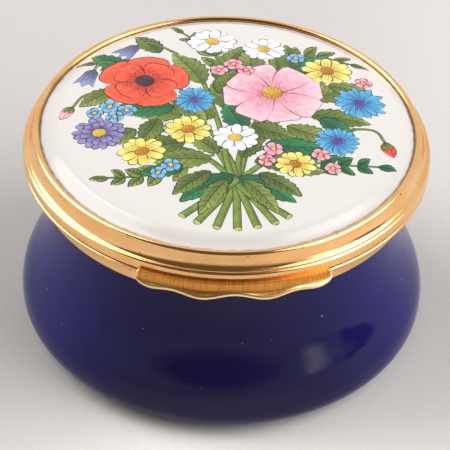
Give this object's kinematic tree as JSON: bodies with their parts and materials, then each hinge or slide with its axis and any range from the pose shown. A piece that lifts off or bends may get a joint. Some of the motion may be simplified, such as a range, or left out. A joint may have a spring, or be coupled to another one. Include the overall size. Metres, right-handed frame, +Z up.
{
  "type": "enamel trinket box",
  "caption": "Small round hinged trinket box: swelling blue enamelled body, gilt mounts with a scalloped thumb-piece, domed white enamel lid painted with flowers.",
  "frame": {"origin": "bottom centre of the box, on the surface that it stands on", "axes": "+Z up, -Y to the front with the thumb-piece, +Y to the hinge at the back, +X to the right seen from the front"},
  "size_m": [0.0576, 0.0602, 0.034],
  "materials": {
    "blue_enamel": "fired cobalt-blue enamel, glossy",
    "white_enamel": "fired white enamel, glossy, painted with flowers",
    "gilt_brass": "polished gilding, lightly worn"
  },
  "bodies": {
    "box": {"box_body": "blue_enamel", "base_bezel": "gilt_brass", "hinge_pin": "gilt_brass"},
    "lid": {"lid_bezel": "gilt_brass", "lid_plaque": "white_enamel", "thumb_piece": "gilt_brass"}
  },
  "joints": [
    {"name": "lid_hinge", "type": "hinge", "parent": "box", "child": "lid", "pos_m": [0, 0.02911, 0.028], "axis": [-1, 0, 0], "range_deg": [0, 100]}
  ]
}
